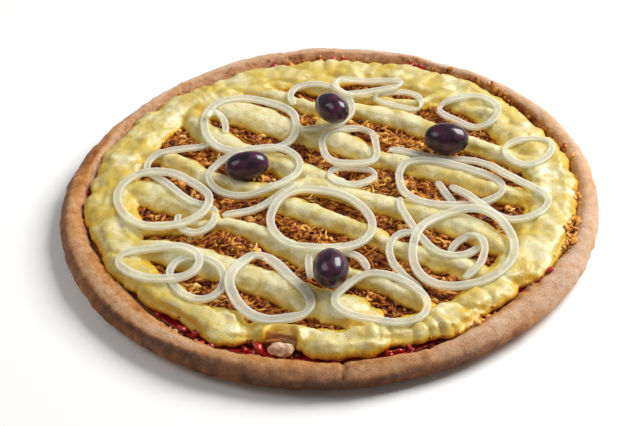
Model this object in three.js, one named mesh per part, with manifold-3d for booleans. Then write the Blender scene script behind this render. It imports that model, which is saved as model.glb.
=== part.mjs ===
// Chicken pizza, 300 mm across. A baked crust with a raised rim carries tomato sauce, browned
// chicken, cream cheese piped in long ropes, thin onion rings and four whole black olives.
// Millimetres, +Z up. The middle of the box round the pizza stands on the origin, and
// angles are degrees from +X towards +Y.

import * as THREE from "three";
import Module from "manifold-3d";
import { mergeVertices } from "three/addons/utils/BufferGeometryUtils.js";

const wasm = await Module();
wasm.setup();

const { clamp, degToRad, mapLinear, radToDeg } = THREE.MathUtils;

// Crust: an even disc of this section is turned, then its rim is pulled to the real outline
const CRUST = { radius: 150, inside: 135, flatUntil: 112, floor: 5, segments: 84, middleInside: 136 };
const RIM_SECTION = [
  [140, 0], [146, 2.6], [149.3, 5.4], [150, 8.2], [148.6, 12], [145.6, 15.2],
  [141.6, 16.6], [138, 15], [135.6, 11.6], [134, 8], [130, CRUST.floor],
];
// Waves of the outline: [waves round the pizza, mm, degrees]
const OUTLINE_WAVES = [[2, 0.2, -40], [3, 0.6, -77], [4, 0.95, 24], [5, 0.9, 142], [6, 0.38, -138]];
// Bumps are [degrees, mm, half width in degrees]
const INSIDE_BUMPS = [
  [214, -6, 20], [258, -2.4, 14], [312, -5, 12], [90, -2.2, 28], [177, 1.4, 16], [340, 1.6, 30],
];
const RIM_HEIGHT_BUMPS = [
  [95, 0.9, 60], [207, 1.1, 7], [216, -1, 6], [177, -0.9, 4], [236, -0.8, 4], [325, -0.7, 30],
];
const RIM_LUMP = 0.35;

// Tomato sauce, [radius, height above the floor] of its top from the rim inwards
const SAUCE_GAP = 0.3;
const SAUCE_TOP = [[133.4, 9.8], [127, 7.2], [118, 6.8]];
// Diced tomato in the groove: [degrees, radius, size]
const TOMATO_HEIGHT = 8.6;
const TOMATOES = [
  [173, 131, 4], [192, 130.5, 4], [199, 130.5, 4.5], [214, 130.5, 4], [224, 130.5, 5],
  [236, 129.6, 5.2], [251, 129.4, 6], [267, 130.5, 4], [281, 130.5, 5], [286, 130.5, 4.5],
  [313, 130.5, 4.5], [325, 130.5, 5], [12, 131, 5], [25, 131, 4.5], [31, 130.4, 5], [62, 130, 5],
  [97, 131, 5], [102, 131, 4.5],
];

// Browned chicken: a flat bed, with shreds on it wherever the cheese leaves it bare
const CHICKEN = { edge: 126, bottom: 7.1, top: 10.4, segments: 42, shreds: 92, tries: 9000 };
const SHRED = { longest: 13, shortest: 6, width: 3.1, height: 2, sunk: 2.4 };
const CHUNK = { degrees: 257, radius: 129.2, height: 12.3, half: [7.4, 4.6, 3.4] };

// Cream cheese: ropes with a domed section, laid from the rim band into the middle
const CHEESE = { base: 10.8, lowest: 8, step: 14, sides: 6, clearance: 0.5 };
const ROPE_HEIGHT = { least: 4.4, forWidth: 0.15 };
// Ropes from the front of the pizza to the back: [x, y, half width] at each bend
const ROPES = [
  [[-114, -44, 7], [-101, -65, 6.5], [-83, -86, 7], [-65, -98, 9.5], [-52, -106, 9.5], [-44, -113, 7]],
  [[-95, -64, 6], [-84, -75, 5.5], [-76, -86, 5]],
  [[-122, -38, 8], [-103, -40, 7.5], [-88, -44, 10], [-68, -55, 11], [-47, -67, 10.5], [-28, -79, 11],
    [-12, -91, 12], [6, -100, 12.5], [22, -106, 10]],
  [[-124, -21, 6], [-102, -23, 4.5], [-82, -24, 4.5], [-62, -23, 5], [-49, -26, 6], [-35, -36, 7],
    [-20, -50, 7.5], [0, -67, 6.5], [14, -75, 6], [31, -85, 6], [50, -103, 7]],
  [[-124, 13, 10], [-106, 12, 12], [-92, 3, 11.5], [-76, -9, 7.5], [-62, -18, 6]],
  [[-32, -6, 9], [-16, -13, 8.5], [2, -26, 7.5], [19, -37, 7.5], [32, -50, 6], [48, -59, 8],
    [66, -69, 8.5], [86, -86, 8]],
  [[-120, 47, 9.5], [-102, 46, 7], [-90, 40, 6.5], [-78, 30, 6.5], [-66, 19, 6], [-50, 10, 6],
    [-33, 5, 6.5], [-14, 8, 7], [4, 2, 7.5], [21, -10, 9], [40, -18, 8.5], [57, -27, 10], [72, -36, 10.5],
    [86, -49, 9.5], [96, -64, 8]],
  [[-86, 94, 9], [-77, 76, 8], [-68, 62, 9], [-50, 46, 8], [-31, 33, 9.5], [-14, 20, 10], [4, 10, 6],
    [16, 2, 5]],
  [[-90, 92, 9], [-67, 90, 10.5], [-46, 81, 13.5], [-24, 66, 10.5], [-7, 52, 8], [8, 48, 11], [26, 32, 8],
    [47, 21, 7.5], [62, 13, 8], [75, 5, 8.5], [88, -4, 8.5], [101, -12, 7.5], [112, -18, 7], [122, -26, 7]],
  [[-66, 104, 8], [-48, 106, 6.5], [-27, 98, 6.5], [-10, 86, 5], [6, 72, 6]],
  [[-4, 68, 6], [13, 79, 6.5], [30, 75, 8.5], [50, 64, 9], [68, 48, 8], [84, 38, 7.5], [100, 27, 7],
    [115, 14, 8], [127, 4, 8]],
  [[-20, 113, 8], [0, 104, 6], [16, 93, 5], [34, 88, 5], [52, 80, 4.5], [72, 86, 6], [90, 72, 8],
    [104, 60, 6.5], [114, 42, 6], [122, 26, 6.5]],
  [[40, 108, 8], [58, 97, 5.5], [74, 88, 5], [92, 74, 7]],
  [[97, -34, 7], [107, -42, 9], [117, -53, 8]],
  [[72, -100, 7], [60, -112, 9], [44, -116, 8]],
  [[96, -70, 7], [90, -83, 7.5], [80, -98, 8]],
];
// Band of cheese along the rim. The foot of its outer side leans against the rim, in mm for
// each mm of height, and draws back at a few places.
const BAND = { outer: 133.2, inner: 111, step: 9.5, start: 245, turn: 366, lumps: 1 };
const BAND_LEAN = 0.63;
const BAND_FOOT = 5.4;
const BAND_RECESSES = [
  [174, -2, 5], [196, -3.5, 5], [219, -3.5, 5], [232, -9, 6], [256, -13.5, 8], [281, -7.5, 5],
  [292, -5, 3], [301, -3, 4], [312, -1, 9], [316, -5.5, 4], [29, -3, 5], [62, -2, 4], [98, -2, 5],
];
const BAND_INNER_BUMPS = [[185, -6, 20], [256, -1, 12], [330, -5, 18], [20, -5, 16], [95, -3, 30]];

// Onion, a ribbon of this section that lies over what is under it
const ONION = { width: 4, thickness: 2.3, step: 8.4, clearance: 0.35, sample: 1, sag: 0.7, passes: 25 };
// Closed rings: the middle, half the length and width, the turn, and waves of the outline
// as [waves round, share of the radius, degrees]
const RINGS = {
  onion_08: { at: [14, 9.5], half: [14, 9.3], turn: 0, waves: [[3, 0.08, 107]] },
  onion_09: { at: [14, 36], half: [16.7, 20.4], turn: 0, waves: [[3, 0.03, 160], [4, 0.09, 200]] },
  onion_01: { at: [-43.5, 64.5], half: [29.5, 27], turn: -46, waves: [[4, 0.03, 12]], width: 4.6 },
  onion_11: { at: [-92.5, -5], half: [28.2, 22.9], turn: -38, waves: [[3, 0.03, 127]], width: 4.6 },
  onion_10: { at: [-40.4, 17.2], half: [26.9, 19], turn: 11, waves: [[3, 0.04, 124]] },
  onion_15: { at: [-5.3, -30], half: [25.7, 29.9], turn: 46, waves: [[3, 0.02, 148]], width: 4.6 },
  onion_05: { at: [46.8, 82.4], half: [14.7, 7.5], turn: -22, waves: [[3, 0.2, -119]], width: 3.4 },
  onion_04: { at: [27, 96.5], half: [21, 9.1], turn: 2, waves: [[3, 0.09, 0], [4, 0.07, -119]] },
  onion_06: { at: [87.7, 66.6], half: [17.8, 13.2], turn: -34, waves: [[3, 0.14, -124], [4, 0.07, 107]] },
  onion_07: { at: [115, 21.6], half: [14.1, 12.3], turn: 22, waves: [[3, 0.11, 16]] },
  onion_21: { at: [65.5, -3.2], half: [29.9, 19.2], turn: -23, waves: [[3, 0.11, 53]], width: 4.4 },
  onion_24: { at: [69, -60.7], half: [26.6, 30.9], turn: -24, waves: [[3, 0.02, 0]], width: 4.6 },
  onion_20: { at: [23.7, -97], half: [24.2, 18.3], turn: -23, waves: [[3, 0.1, -51], [4, 0.04, 144]] },
  onion_18: { at: [-71.5, -72.2], half: [13.6, 18.5], turn: 27, waves: [[3, 0.04, 10]] },
  onion_17: { at: [-91, -59.8], half: [23.3, 13.3], turn: -16, waves: [[3, 0.06, 178]], width: 4.6 },
  onion_19: {
    at: [-34.8, -84.8], half: [17.2, 27.6], turn: 27, waves: [[3, 0.11, -163], [4, 0.07, -153]], width: 5.4,
  },
};
// Cut strands: [x, y] of each bend
const STRANDS = {
  onion_02: [[-69, 70], [-66, 77], [-61, 74], [-58, 66], [-58, 57]],
  onion_03: [[-17, 83], [-20, 91], [-18, 99], [-10, 104], [0, 103], [9, 97], [16, 85], [17, 70],
    [11, 57], [0, 53], [-14, 52]],
  onion_12: [[-68, 50], [-84, 44], [-98, 40], [-104, 31], [-100, 21], [-93, 14], [-80, -4],
    [-73, -10], [-65, -11], [-62, -20], [-67, -32], [-77, -34], [-84, -25], [-83, -17]],
  onion_14: [[-59, -20], [-48, -18], [-36, -11], [-26, -2], [-18, 5]],
  onion_16: [[-12, -76], [-13, -66], [-12, -57], [-5, -53], [4, -54], [11, -57], [16, -64], [18, -72]],
  onion_22: [[36, 32], [56, 26], [75, 21], [84, 19], [91, 9], [99, -2], [112, -12], [120, -21],
    [117, -32], [106, -39], [95, -38], [84, -28], [75, -14], [68, -2]],
  onion_23: [[61, 3], [64, -6], [69, -18]],
  onion_25: [[39, -14], [38, -21], [43, -34], [48, -49], [54, -62], [64, -67], [73, -65], [78, -58]],
  onion_26: [[62, -58], [67, -51], [75, -49], [80, -56], [80, -66], [75, -77], [67, -84]],
  onion_13: [[44, -46], [35, -46], [30, -55], [31, -67], [38, -79], [45, -87]],
};
// The order in which the onion was strewn, so later pieces lie over earlier ones
const STREWN = [8, 9, 12, 14, 1, 2, 11, 10, 16, 15, 3, 5, 4, 6, 7, 23, 21, 22, 25, 13, 26, 24, 20, 18, 17, 19]
  .map((number) => `onion_${String(number).padStart(2, "0")}`);

// Olives: [x, y], length, thickness, the way the pitted end points and how far it tips up, in degrees
const OLIVE = { segments: 12, rows: 8, clearance: 0.3, pitRadius: 1.5, pitDepth: 1.6 };
const OLIVES = {
  olive_1: { at: [5, 57], length: 25, thickness: 18.2, points: -58, tips: 8 },
  olive_2: { at: [69, 30], length: 25.5, thickness: 19, points: -14, tips: 0 },
  olive_3: { at: [-45, 17], length: 25.5, thickness: 17.4, points: 5, tips: 4 },
  olive_4: { at: [-1.5, -82], length: 25, thickness: 20, points: -88, tips: 10 },
};

const MATERIALS = {
  crust: new THREE.MeshStandardMaterial({ color: 0xc59a76, roughness: 0.85, metalness: 0 }),
  sauce: new THREE.MeshStandardMaterial({ color: 0x9c2a16, roughness: 0.4, metalness: 0 }),
  chicken: new THREE.MeshStandardMaterial({ color: 0x8c4f22, roughness: 0.6, metalness: 0 }),
  cheese: new THREE.MeshStandardMaterial({ color: 0xe8dca6, roughness: 0.55, metalness: 0 }),
  onion: new THREE.MeshStandardMaterial({ color: 0xe9e6d8, roughness: 0.35, metalness: 0 }),
  olive: new THREE.MeshStandardMaterial({ color: 0x2c1420, roughness: 0.2, metalness: 0 }),
};

// Seeded draws, the same on each run
function seededDraw(seed) {
  let state = seed;
  return () => {
    state = (state + 0x6d2b79f5) | 0;
    let mixed = Math.imul(state ^ (state >>> 15), 1 | state);
    mixed = (mixed + Math.imul(mixed ^ (mixed >>> 7), 61 | mixed)) ^ mixed;
    return ((mixed ^ (mixed >>> 14)) >>> 0) / 4294967296;
  };
}

function cosDeg(degrees) {
  return Math.cos(degToRad(degrees));
}

function sinDeg(degrees) {
  return Math.sin(degToRad(degrees));
}

function sumOfWaves(waves, degrees) {
  return waves.reduce((sum, [count, size, phase]) => sum + size * cosDeg(count * degrees - phase), 0);
}

function sumOfBumps(bumps, degrees) {
  return bumps.reduce((sum, [middle, size, width]) => {
    const away = THREE.MathUtils.euclideanModulo(degrees - middle + 180, 360) - 180;
    return sum + size * Math.exp(-((away / width) ** 2));
  }, 0);
}

// Pulls a radius of the even disc to the real outline of the crust
function settle(radius, degrees) {
  const inside = CRUST.middleInside + sumOfBumps(INSIDE_BUMPS, degrees);
  if (radius < CRUST.flatUntil) {
    return radius;
  }
  if (radius < CRUST.inside) {
    return mapLinear(radius, CRUST.flatUntil, CRUST.inside, CRUST.flatUntil, inside);
  }
  const outside = CRUST.radius + sumOfWaves(OUTLINE_WAVES, degrees);
  return mapLinear(radius, CRUST.inside, CRUST.radius, inside, outside);
}

function onDisc(radius, degrees, height) {
  const settled = settle(radius, degrees);
  return new THREE.Vector3(settled * cosDeg(degrees), settled * sinDeg(degrees), height);
}

// Moves every corner of a geometry to the place that a function gives it
function reshape(geometry, place) {
  const corners = geometry.attributes.position;
  const corner = new THREE.Vector3();
  for (let i = 0; i < corners.count; i += 1) {
    corner.fromBufferAttribute(corners, i);
    corners.setXYZ(i, ...place(corner).toArray());
  }
  return weld(geometry);
}

function weld(geometry) {
  geometry.deleteAttribute("normal");
  geometry.deleteAttribute("uv");
  return mergeVertices(geometry, 1e-4);
}

function toSolid(geometry) {
  const welded = weld(geometry);
  return new wasm.Manifold(new wasm.Mesh({
    numProp: 3,
    vertProperties: new Float32Array(welded.attributes.position.array),
    triVerts: new Uint32Array(welded.index.array),
  }));
}

function toGeometry(solid) {
  const mesh = solid.getMesh();
  const geometry = new THREE.BufferGeometry();
  geometry.setAttribute("position", new THREE.BufferAttribute(new Float32Array(mesh.vertProperties), 3));
  geometry.setIndex(new THREE.BufferAttribute(new Uint32Array(mesh.triVerts), 1));
  return geometry;
}

function joined(solids) {
  return solids.reduce((whole, solid) => whole.add(solid));
}

// The largest body of a joined solid, without sealed hollows or loose scraps
function largestBody(solid) {
  return solid.decompose().reduce((largest, body) => (body.volume() > largest.volume() ? body : largest));
}

// A disc turned from a section [radius, height], with its rim pulled to the outline
function turnedDisc(section, segments, heightAt) {
  const points = section.map(([radius, height]) => new THREE.Vector2(radius, height));
  const disc = new THREE.LatheGeometry(points, segments).rotateX(Math.PI / 2);
  return reshape(disc, (corner) => {
    const radius = Math.hypot(corner.x, corner.y);
    const degrees = radToDeg(Math.atan2(corner.y, corner.x));
    return onDisc(radius, degrees, heightAt ? heightAt(radius, degrees, corner.z) : corner.z);
  });
}

function crustGeometry() {
  const section = [[0, 0], ...RIM_SECTION, [0, CRUST.floor]];
  return turnedDisc(section, CRUST.segments, (radius, degrees, height) => {
    const share = clamp((height - CRUST.floor) / 10, 0, 1) * (radius > CRUST.flatUntil ? 1 : 0);
    const lumps = RIM_LUMP * (sinDeg(17 * degrees) + sinDeg(29 * degrees + 40));
    return height + share * (sumOfBumps(RIM_HEIGHT_BUMPS, degrees) + lumps);
  });
}

function tomatoSolid([degrees, radius, size], draw) {
  const lump = new THREE.IcosahedronGeometry(size / 2, 0).rotateX(draw());
  const middle = onDisc(radius, degrees, TOMATO_HEIGHT);
  const stretch = 0.85 + 0.4 * draw();
  return toSolid(reshape(lump, (corner) => new THREE.Vector3(
    middle.x + corner.x * stretch, middle.y + corner.y, middle.z + corner.z * 0.85)));
}

function sauceGeometry() {
  const bottom = CRUST.floor + SAUCE_GAP;
  const underside = [[0, bottom], [129.6, bottom]];
  const top = SAUCE_TOP.concat([[0, SAUCE_TOP.at(-1)[1]]]);
  return turnedDisc(underside.concat(top), CRUST.segments / 2);
}

// The route of a rope or band of cheese: its third coordinate is half the width
function cheeseRoute(bends) {
  return new THREE.CatmullRomCurve3(bends.map((bend) => new THREE.Vector3(...bend)));
}

function bandBends() {
  const bends = [];
  const across = radToDeg(BAND.step / BAND.outer);
  for (let degrees = BAND.start; degrees <= BAND.start + BAND.turn; degrees += across) {
    const outer = settle(BAND.outer + sumOfBumps(BAND_RECESSES, degrees), degrees);
    const lump = BAND.lumps * sinDeg(11 * degrees);
    const inner = settle(BAND.inner + lump + sumOfBumps(BAND_INNER_BUMPS, degrees), degrees);
    const radius = (outer + inner) / 2;
    bends.push([radius * cosDeg(degrees), radius * sinDeg(degrees), (outer - inner) / 2]);
  }
  return bends;
}

function cheeseRoutes() {
  return [bandBends(), ...ROPES].map(cheeseRoute);
}

// Frames along a route: the place and the direction to its left
function framesAlong(route, steps) {
  const frames = [];
  for (let i = 0; i <= steps; i += 1) {
    const tangent = route.getTangentAt(i / steps).setZ(0).normalize();
    frames.push({ at: route.getPointAt(i / steps), left: new THREE.Vector2(-tangent.y, tangent.x) });
  }
  return frames;
}

// A rope has a flat underside and a domed top, and draws in at both ends
function ropeSolid(route, lean) {
  const steps = Math.ceil(route.getLength() / CHEESE.step);
  const frames = framesAlong(route, steps);
  const rope = new THREE.CylinderGeometry(1, 1, 1, CHEESE.sides, steps);
  return toSolid(reshape(rope, (corner) => {
    const row = Math.round((corner.y + 0.5) * steps);
    const { at, left } = frames[row];
    const end = row === 0 || row === steps ? 0.6 : 1;
    const around = THREE.MathUtils.euclideanModulo(Math.atan2(corner.x, corner.z) / (2 * Math.PI), 1);
    const arc = Math.PI * around * CHEESE.sides / (CHEESE.sides - 1);
    const inMiddle = Math.hypot(corner.x, corner.z) < 0.5;
    const height = CHEESE.base - CHEESE.lowest + ROPE_HEIGHT.least + ROPE_HEIGHT.forWidth * at.z;
    const up = inMiddle ? height / 3 : Math.sin(arc) * height * end;
    const leftwards = inMiddle ? 0 : Math.cos(arc);
    const leaning = leftwards < 0 ? lean * Math.min(up, BAND_FOOT) : 0;
    const across = leftwards * at.z * end - leaning;
    return new THREE.Vector3(at.x + left.x * across, at.y + left.y * across, CHEESE.lowest + up);
  }));
}

function cheeseGeometry(routes) {
  const span = 3 * CRUST.radius;
  const below = new THREE.BoxGeometry(span, span, span).translate(0, 0, CHEESE.base - span / 2);
  const ropes = routes.map((route, i) => ropeSolid(route, i === 0 ? BAND_LEAN : 0));
  return toGeometry(largestBody(joined(ropes).subtract(toSolid(below))));
}

// How far a point is from the nearest cheese, in plan
function cheeseProbe(routes) {
  const marks = routes.flatMap((route) => route.getSpacedPoints(Math.ceil(route.getLength() / 3)));
  return (x, y) => Math.min(...marks.map((mark) => Math.hypot(x - mark.x, y - mark.y) - mark.z));
}

// A shred of chicken lies at a slant, half sunk in the bed
function shredSolid(x, y, heading, length, draw) {
  const width = SHRED.width * (0.7 + 0.6 * draw());
  const height = SHRED.height * (0.8 + 0.6 * draw());
  const shred = new THREE.BoxGeometry(length, width, height + SHRED.sunk);
  shred.rotateX((draw() - 0.5) * 0.6).rotateY((draw() - 0.5) * 0.12).rotateZ(heading);
  return toSolid(shred.translate(x, y, CHICKEN.top + (height - SHRED.sunk) / 2));
}

function shredSolids(distanceToCheese) {
  const draw = seededDraw(11);
  const shreds = [];
  const reach = SHRED.width * 0.75 + CHEESE.clearance;
  for (let i = 0; i < CHICKEN.tries && shreds.length < CHICKEN.shreds; i += 1) {
    const radius = CHICKEN.edge * Math.sqrt(draw()) - 3;
    const place = onDisc(Math.max(radius, 0), 360 * draw(), 0);
    const heading = Math.PI * draw();
    const length = SHRED.shortest + (SHRED.longest - SHRED.shortest) * draw();
    const isClear = [-0.5, -0.25, 0, 0.25, 0.5].every((along) => {
      const x = place.x + Math.cos(heading) * length * along;
      const y = place.y + Math.sin(heading) * length * along;
      return distanceToCheese(x, y) > reach && Math.hypot(x, y) < CHICKEN.edge - 2;
    });
    if (isClear) {
      shreds.push(shredSolid(place.x, place.y, heading, length, draw));
    }
  }
  return shreds;
}

function chickenGeometry(distanceToCheese) {
  const { edge, bottom, top } = CHICKEN;
  const section = [
    [0, bottom], [edge - 2, bottom], [edge, bottom + 1.2], [edge - 1, top - 0.8], [edge - 4, top], [0, top],
  ];
  const bed = toSolid(turnedDisc(section, CHICKEN.segments));
  return toGeometry(largestBody(joined([bed, ...shredSolids(distanceToCheese)])));
}

// A coarse lump of chicken in the front of the groove
function chunkGeometry() {
  const draw = seededDraw(5);
  const middle = onDisc(CHUNK.radius, CHUNK.degrees, CHUNK.height);
  const lump = weld(new THREE.IcosahedronGeometry(1, 2));
  const crags = Array.from({ length: lump.attributes.position.count }, () => 0.86 + 0.2 * draw());
  let index = 0;
  return reshape(lump, (corner) => {
    const crag = crags[index];
    index += 1;
    const [length, depth, height] = CHUNK.half;
    const along = corner.x * length * crag;
    const inwards = corner.y * depth * crag;
    const turn = CHUNK.degrees + 90;
    return new THREE.Vector3(
      middle.x + along * cosDeg(turn) - inwards * sinDeg(turn),
      middle.y + along * sinDeg(turn) + inwards * cosDeg(turn),
      middle.z + corner.z * height * crag);
  });
}

// A grid of the highest point found so far over each spot of the pizza
const FIELD = { cell: 0.75, reach: 156 };
FIELD.count = Math.ceil(2 * FIELD.reach / FIELD.cell);

function newField() {
  return new Float32Array(FIELD.count * FIELD.count);
}

function cellOf(value) {
  return Math.round((value + FIELD.reach) / FIELD.cell);
}

function raiseField(field, geometry) {
  const triangle = new THREE.Triangle();
  const corners = geometry.attributes.position;
  const plain = new THREE.Triangle();
  const share = new THREE.Vector3();
  const index = geometry.index;
  for (let i = 0; i < index.count; i += 3) {
    triangle.setFromAttributeAndIndices(corners, index.getX(i), index.getX(i + 1), index.getX(i + 2));
    const { a, b, c } = triangle;
    plain.copy(triangle);
    [plain.a, plain.b, plain.c].forEach((corner) => corner.setZ(0));
    if (plain.getArea() < 1e-6) {
      continue;
    }
    for (let row = cellOf(Math.min(a.y, b.y, c.y)); row <= cellOf(Math.max(a.y, b.y, c.y)); row += 1) {
      const lastColumn = cellOf(Math.max(a.x, b.x, c.x));
      for (let column = cellOf(Math.min(a.x, b.x, c.x)); column <= lastColumn; column += 1) {
        const spot = new THREE.Vector3(column, row, 0).multiplyScalar(FIELD.cell);
        spot.x -= FIELD.reach;
        spot.y -= FIELD.reach;
        plain.getBarycoord(spot, share);
        if (Math.min(share.x, share.y, share.z) >= -0.05) {
          const height = share.x * a.z + share.y * b.z + share.z * c.z;
          const cell = row * FIELD.count + column;
          field[cell] = Math.max(field[cell], height);
        }
      }
    }
  }
}

function fieldHeight(field, x, y) {
  return field[cellOf(y) * FIELD.count + cellOf(x)];
}

// A closed ring as a curve, from its middle, half sizes, turn and waves
class RingCurve extends THREE.Curve {
  constructor(ring) {
    super();
    this.ring = ring;
  }

  getPoint(share, target = new THREE.Vector3()) {
    const { at, half, turn, waves } = this.ring;
    const degrees = 360 * share;
    const swell = 1 + sumOfWaves(waves, degrees);
    const x = half[0] * cosDeg(degrees) * swell;
    const y = half[1] * sinDeg(degrees) * swell;
    return target.set(
      at[0] + x * cosDeg(turn) - y * sinDeg(turn), at[1] + x * sinDeg(turn) + y * cosDeg(turn), 0);
  }
}

// The highest thing under each step of a ribbon, looked up across its width
function heightsUnder(field, route, steps, width) {
  const fine = Math.ceil(route.getLength() / ONION.sample / steps);
  const marks = framesAlong(route, steps * fine).map(({ at, left }) => {
    let highest = 0;
    for (let across = -width / 2 - 0.4; across <= width / 2 + 0.4; across += 0.6) {
      highest = Math.max(highest, fieldHeight(field, at.x + left.x * across, at.y + left.y * across));
    }
    return highest;
  });
  return { marks, fine };
}

// Each step clears all that lies between its neighbours, and the ribbon sags only a little
function restingHeights(field, route, steps, width, isClosed) {
  const { marks, fine } = heightsUnder(field, route, steps, width);
  const total = steps * fine;
  const wrap = (i) => (isClosed ? THREE.MathUtils.euclideanModulo(i, total) : clamp(i, 0, total));
  let heights = [];
  for (let step = 0; step <= steps; step += 1) {
    let highest = 0;
    for (let i = -fine; i <= fine; i += 1) {
      highest = Math.max(highest, marks[wrap(step * fine + i)]);
    }
    heights.push(highest + ONION.clearance);
  }
  const neighbour = (i) => (isClosed ? THREE.MathUtils.euclideanModulo(i, steps) : clamp(i, 0, steps));
  for (let pass = 0; pass < ONION.passes; pass += 1) {
    heights = heights.map((height, i) => {
      const between = (heights[neighbour(i - 1)] + heights[neighbour(i + 1)]) / 2;
      return Math.max(height, between - ONION.sag);
    });
  }
  return heights;
}

// A ribbon follows a route at the given heights, as a ring or as a strand with two ends
function ribbonGeometry(route, steps, heights, width, isClosed) {
  const frames = framesAlong(route, steps);
  const shape = isClosed
    ? new THREE.TorusGeometry(1, 0.5, 4, steps)
    : new THREE.CylinderGeometry(1, 1, 1, 4, steps);
  return reshape(shape, (corner) => {
    const around = Math.atan2(corner.y, corner.x) / (2 * Math.PI);
    const share = isClosed ? THREE.MathUtils.euclideanModulo(around + 1e-6, 1) : corner.y + 0.5;
    const step = Math.round(share * steps) % (isClosed ? steps : steps + 1);
    const outwards = isClosed ? (Math.hypot(corner.x, corner.y) - 1) / 0.5 : corner.x;
    const upwards = isClosed ? corner.z / 0.5 : corner.z;
    const across = (outwards - upwards) * width / 2;
    const up = (outwards + upwards + 1) * ONION.thickness / 2;
    const { at, left } = frames[step];
    const side = -across;
    return new THREE.Vector3(at.x + left.x * side, at.y + left.y * side, heights[step] + up);
  });
}

function onionGeometry(name, field) {
  const ring = RINGS[name];
  const isClosed = ring !== undefined;
  const route = isClosed
    ? new RingCurve(ring)
    : new THREE.CatmullRomCurve3(STRANDS[name].map(([x, y]) => new THREE.Vector3(x, y, 0)));
  const width = ring?.width ?? ONION.width;
  const steps = Math.ceil(route.getLength() / ONION.step);
  const heights = restingHeights(field, route, steps, width, isClosed);
  return ribbonGeometry(route, steps, heights, width, isClosed);
}

// An olive lies along +X: blunt behind, a little pointed in front, with the mark of the stem
function oliveSection(length, thickness) {
  const points = [new THREE.Vector2(0, -length / 2)];
  for (let row = 1; row < OLIVE.rows; row += 1) {
    const share = mapLinear(row, 0, OLIVE.rows, -1, 1);
    const angle = share * Math.PI / 2;
    const radius = thickness / 2 * Math.cos(angle) ** 0.85;
    points.push(new THREE.Vector2(radius, length / 2 * Math.sin(angle)));
  }
  points.push(new THREE.Vector2(OLIVE.pitRadius, length / 2));
  points.push(new THREE.Vector2(0, length / 2 - OLIVE.pitDepth));
  return points;
}

function oliveGeometry({ at, length, thickness, points, tips }, field) {
  const turned = new THREE.LatheGeometry(oliveSection(length, thickness), OLIVE.segments);
  const olive = weld(turned.rotateZ(-Math.PI / 2).rotateY(-degToRad(tips)).rotateZ(degToRad(points)));
  olive.translate(at[0], at[1], 0);
  const down = newField();
  raiseField(down, olive.clone().scale(1, 1, -1).translate(0, 0, thickness));
  let rest = 0;
  field.forEach((height, cell) => {
    if (down[cell] > 0) {
      rest = Math.max(rest, height + down[cell] - thickness);
    }
  });
  return olive.translate(0, 0, rest + OLIVE.clearance);
}

function named(name, geometry, material) {
  const mesh = new THREE.Mesh(geometry, material);
  mesh.name = name;
  return mesh;
}

function buildPizza() {
  const pizza = new THREE.Group();
  const routes = cheeseRoutes();
  const draw = seededDraw(3);
  const tomatoes = TOMATOES.map((tomato) => tomatoSolid(tomato, draw));
  const sauce = toGeometry(joined([toSolid(sauceGeometry()), ...tomatoes]));
  const cheese = cheeseGeometry(routes);
  const chicken = chickenGeometry(cheeseProbe(routes));
  pizza.add(named("crust", crustGeometry(), MATERIALS.crust));
  pizza.add(named("tomato_sauce", sauce, MATERIALS.sauce));
  pizza.add(named("chicken", chicken, MATERIALS.chicken));
  pizza.add(named("chicken_chunk", chunkGeometry(), MATERIALS.chicken));
  pizza.add(named("cheese", cheese, MATERIALS.cheese));
  const field = newField();
  raiseField(field, cheese);
  raiseField(field, chicken);
  STREWN.forEach((name) => {
    const onion = onionGeometry(name, field);
    raiseField(field, onion);
    pizza.add(named(name, onion, MATERIALS.onion));
  });
  Object.entries(OLIVES).forEach(([name, olive]) => {
    pizza.add(named(name, oliveGeometry(olive, field), MATERIALS.olive));
  });
  return pizza;
}

// Moves the pieces so that the middle of the box round them stands on the origin
function centred(pizza) {
  const box = new THREE.Box3().setFromObject(pizza, true);
  const middle = box.getCenter(new THREE.Vector3());
  pizza.children.forEach((mesh) => mesh.geometry.translate(-middle.x, -middle.y, -box.min.z));
  return pizza;
}

const group = centred(buildPizza());

export default group;
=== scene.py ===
"""Chicken pizza: the looks of each piece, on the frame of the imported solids."""

import math
import random

import bmesh
import bpy
from mathutils import Matrix, Vector, noise
from mathutils.bvhtree import BVHTree


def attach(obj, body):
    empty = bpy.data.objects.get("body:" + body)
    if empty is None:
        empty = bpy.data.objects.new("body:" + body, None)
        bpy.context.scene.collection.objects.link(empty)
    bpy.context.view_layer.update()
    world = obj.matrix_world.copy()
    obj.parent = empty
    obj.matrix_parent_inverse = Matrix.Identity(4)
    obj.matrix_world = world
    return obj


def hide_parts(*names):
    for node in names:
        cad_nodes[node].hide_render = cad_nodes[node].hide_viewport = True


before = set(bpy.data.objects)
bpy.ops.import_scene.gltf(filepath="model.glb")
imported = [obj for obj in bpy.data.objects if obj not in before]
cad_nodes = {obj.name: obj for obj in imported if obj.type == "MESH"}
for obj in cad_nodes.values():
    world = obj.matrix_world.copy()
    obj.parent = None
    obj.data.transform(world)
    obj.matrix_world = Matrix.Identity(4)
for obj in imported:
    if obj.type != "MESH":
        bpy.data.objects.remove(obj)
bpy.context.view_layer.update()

MM = 0.001
ONIONS = sorted(name for name in cad_nodes if name.startswith("onion"))
OLIVES = sorted(name for name in cad_nodes if name.startswith("olive"))


# Camera

# Its place in mm, the degrees it dips and rolls, and its focal length in mm
CAMERA = {"at": (-4.83, -710.6, 559.3), "dips": 38.3, "rolls": -3.24, "lens": 90.0}


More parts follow.
